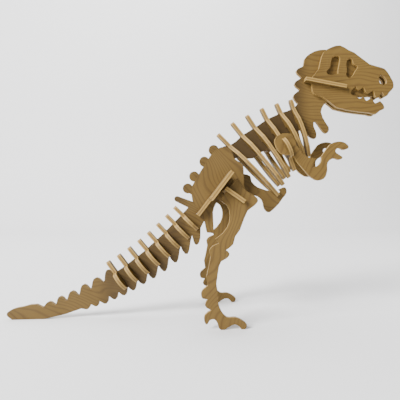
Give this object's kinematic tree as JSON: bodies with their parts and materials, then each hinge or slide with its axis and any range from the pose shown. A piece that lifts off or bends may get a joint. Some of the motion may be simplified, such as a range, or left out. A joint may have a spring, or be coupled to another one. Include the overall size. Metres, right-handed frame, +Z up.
{
  "type": "wooden dinosaur skeleton puzzle",
  "caption": "Standing Tyrannosaurus skeleton puzzle of flat laser-cut plywood pieces that slot together crosswise and pull apart again.",
  "frame": {"origin": "on the floor under the middle of the overall length, on the centre plate's middle plane", "axes": "+X towards the nose, +Y towards the animal's left side, +Z up"},
  "size_m": [0.3096, 0.092, 0.22],
  "materials": {
    "ply_plates": "raw laser-cut plywood, matt",
    "ply_cross_pieces": "raw laser-cut plywood, matt"
  },
  "bodies": {
    "body": {"spine_plate": "ply_plates", "tail_plate": "ply_plates"},
    "rib_1": {"rib_1": "ply_cross_pieces"},
    "rib_2": {"rib_2": "ply_cross_pieces"},
    "rib_3": {"rib_3": "ply_cross_pieces"},
    "rib_4": {"rib_4": "ply_cross_pieces"},
    "rib_5": {"rib_5": "ply_cross_pieces"},
    "rib_6": {"rib_6": "ply_cross_pieces"},
    "tail_rib_1": {"tail_rib_1": "ply_cross_pieces"},
    "tail_rib_2": {"tail_rib_2": "ply_cross_pieces"},
    "tail_rib_3": {"tail_rib_3": "ply_cross_pieces"},
    "tail_rib_4": {"tail_rib_4": "ply_cross_pieces"},
    "tail_rib_5": {"tail_rib_5": "ply_cross_pieces"},
    "tail_rib_6": {"tail_rib_6": "ply_cross_pieces"},
    "tail_rib_7": {"tail_rib_7": "ply_cross_pieces"},
    "tail_rib_8": {"tail_rib_8": "ply_cross_pieces"},
    "arm_left": {"arm_left": "ply_plates"},
    "arm_right": {"arm_right": "ply_plates"},
    "skull_left": {"skull_left": "ply_plates"},
    "skull_right": {"skull_right": "ply_plates"},
    "head_bar": {"head_bar": "ply_cross_pieces"},
    "hip_left": {"hip_left": "ply_plates"},
    "hip_right": {"hip_right": "ply_plates"},
    "leg_left": {"leg_left": "ply_plates"},
    "leg_right": {"leg_right": "ply_plates"},
    "hip_bar_long": {"hip_bar_long": "ply_cross_pieces"},
    "hip_bar_short": {"hip_bar_short": "ply_cross_pieces"}
  },
  "joints": [
    {"name": "rib_1_lift", "type": "slide", "parent": "body", "child": "rib_1", "axis": [-0.7071, 0, 0.7071], "range_m": [0, 0.062]},
    {"name": "rib_2_lift", "type": "slide", "parent": "body", "child": "rib_2", "axis": [-0.6293, 0, 0.7771], "range_m": [0, 0.057]},
    {"name": "rib_3_lift", "type": "slide", "parent": "body", "child": "rib_3", "axis": [-0.5519, 0, 0.8339], "range_m": [0, 0.054]},
    {"name": "rib_4_lift", "type": "slide", "parent": "body", "child": "rib_4", "axis": [-0.4462, 0, 0.8949], "range_m": [0, 0.053]},
    {"name": "rib_5_lift", "type": "slide", "parent": "body", "child": "rib_5", "axis": [-0.4226, 0, 0.9063], "range_m": [0, 0.047]},
    {"name": "rib_6_lift", "type": "slide", "parent": "body", "child": "rib_6", "axis": [-0.284, 0, 0.9588], "range_m": [0, 0.047]},
    {"name": "tail_rib_1_lift", "type": "slide", "parent": "body", "child": "tail_rib_1", "axis": [-0.7193, 0, 0.6947], "range_m": [0, 0.024]},
    {"name": "tail_rib_2_lift", "type": "slide", "parent": "body", "child": "tail_rib_2", "axis": [-0.6997, 0, 0.7145], "range_m": [0, 0.024]},
    {"name": "tail_rib_3_lift", "type": "slide", "parent": "body", "child": "tail_rib_3", "axis": [-0.6794, 0, 0.7337], "range_m": [0, 0.024]},
    {"name": "tail_rib_4_lift", "type": "slide", "parent": "body", "child": "tail_rib_4", "axis": [-0.6587, 0, 0.7524], "range_m": [0, 0.024]},
    {"name": "tail_rib_5_lift", "type": "slide", "parent": "body", "child": "tail_rib_5", "axis": [-0.6374, 0, 0.7705], "range_m": [0, 0.024]},
    {"name": "tail_rib_6_lift", "type": "slide", "parent": "body", "child": "tail_rib_6", "axis": [-0.6157, 0, 0.788], "range_m": [0, 0.024]},
    {"name": "tail_rib_7_lift", "type": "slide", "parent": "body", "child": "tail_rib_7", "axis": [-0.5934, 0, 0.8049], "range_m": [0, 0.024]},
    {"name": "tail_rib_8_lift", "type": "slide", "parent": "body", "child": "tail_rib_8", "axis": [-0.5707, 0, 0.8211], "range_m": [0, 0.024]},
    {"name": "arm_left_lift", "type": "slide", "parent": "rib_4", "child": "arm_left", "axis": [-0.4462, 0, 0.8949], "range_m": [0, 0.018]},
    {"name": "arm_right_lift", "type": "slide", "parent": "rib_4", "child": "arm_right", "axis": [-0.4462, 0, 0.8949], "range_m": [0, 0.018]},
    {"name": "skull_left_off", "type": "slide", "parent": "body", "child": "skull_left", "axis": [0, 1, 0], "range_m": [0, 0.022]},
    {"name": "skull_right_off", "type": "slide", "parent": "body", "child": "skull_right", "axis": [0, -1, 0], "range_m": [0, 0.022]},
    {"name": "head_bar_push", "type": "slide", "parent": "body", "child": "head_bar", "axis": [0, -1, 0], "range_m": [0, 0.024]},
    {"name": "hip_left_off", "type": "slide", "parent": "body", "child": "hip_left", "axis": [0, 1, 0], "range_m": [0, 0.02]},
    {"name": "hip_right_off", "type": "slide", "parent": "body", "child": "hip_right", "axis": [0, -1, 0], "range_m": [0, 0.02]},
    {"name": "leg_left_off", "type": "slide", "parent": "body", "child": "leg_left", "axis": [0, 1, 0], "range_m": [0, 0.03]},
    {"name": "leg_right_off", "type": "slide", "parent": "body", "child": "leg_right", "axis": [0, -1, 0], "range_m": [0, 0.03]},
    {"name": "hip_bar_long_push", "type": "slide", "parent": "body", "child": "hip_bar_long", "axis": [0, -1, 0], "range_m": [0, 0.095]},
    {"name": "hip_bar_short_push", "type": "slide", "parent": "body", "child": "hip_bar_short", "axis": [0, -1, 0], "range_m": [0, 0.088]}
  ]
}
